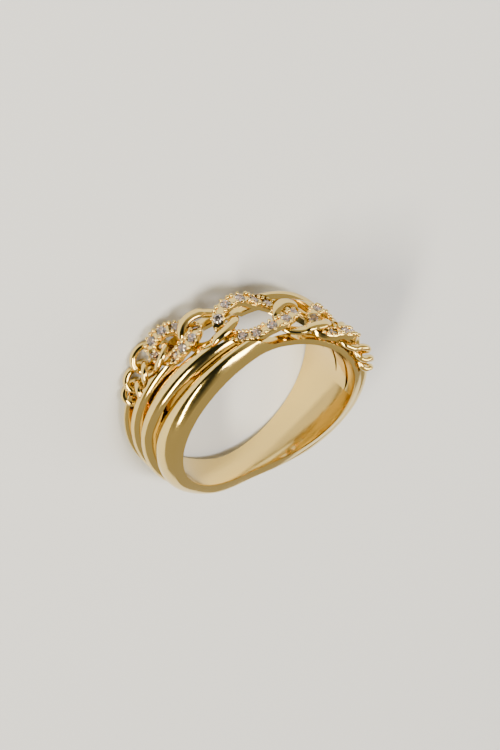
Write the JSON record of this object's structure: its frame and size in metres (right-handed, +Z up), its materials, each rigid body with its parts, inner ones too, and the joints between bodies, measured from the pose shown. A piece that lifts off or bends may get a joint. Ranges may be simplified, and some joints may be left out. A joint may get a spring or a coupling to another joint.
{
  "type": "chain link ring",
  "caption": "Crossover finger ring in gold-coloured metal: ridged shoulders narrow to a slim shank, and a graduated curb chain of plain and stone-set links crosses the top.",
  "frame": {"origin": "on the ground below the middle of the ring's outline, where the ring lies on its side on its back rim and the back edge of the chain", "axes": "+Z up from the ground, close to the finger axis, which leans about 12 degrees as the ring rests; +Y towards the chain at the ring's top; +X to the ring's right seen from its front"},
  "size_m": [0.022, 0.0216, 0.009],
  "materials": {
    "gold": "polished, gold-plated",
    "stone": "faceted, clear with a faint lilac tint"
  },
  "bodies": {
    "root": {"band": "gold", "link_middle": "gold", "link_plain_left": "gold", "link_plain_right": "gold", "link_side_left": "gold", "link_side_right": "gold", "link_third_left": "gold", "link_third_right": "gold", "link_second_left": "gold", "link_second_right": "gold", "stone_middle_1": "stone", "stone_middle_2": "stone", "stone_middle_3": "stone", "stone_middle_4": "stone", "stone_middle_5": "stone", "stone_middle_6": "stone", "stone_middle_7": "stone", "stone_middle_8": "stone", "stone_middle_9": "stone", "stone_middle_10": "stone", "stone_side_left_1": "stone", "stone_side_left_2": "stone", "stone_side_left_3": "stone", "stone_side_left_4": "stone", "stone_side_left_5": "stone", "stone_side_left_6": "stone", "stone_side_left_7": "stone", "stone_side_left_8": "stone", "stone_side_right_1": "stone", "stone_side_right_2": "stone", "stone_side_right_3": "stone", "stone_side_right_4": "stone", "stone_side_right_5": "stone", "stone_side_right_6": "stone", "stone_side_right_7": "stone", "stone_side_right_8": "stone"}
  },
  "joints": []
}
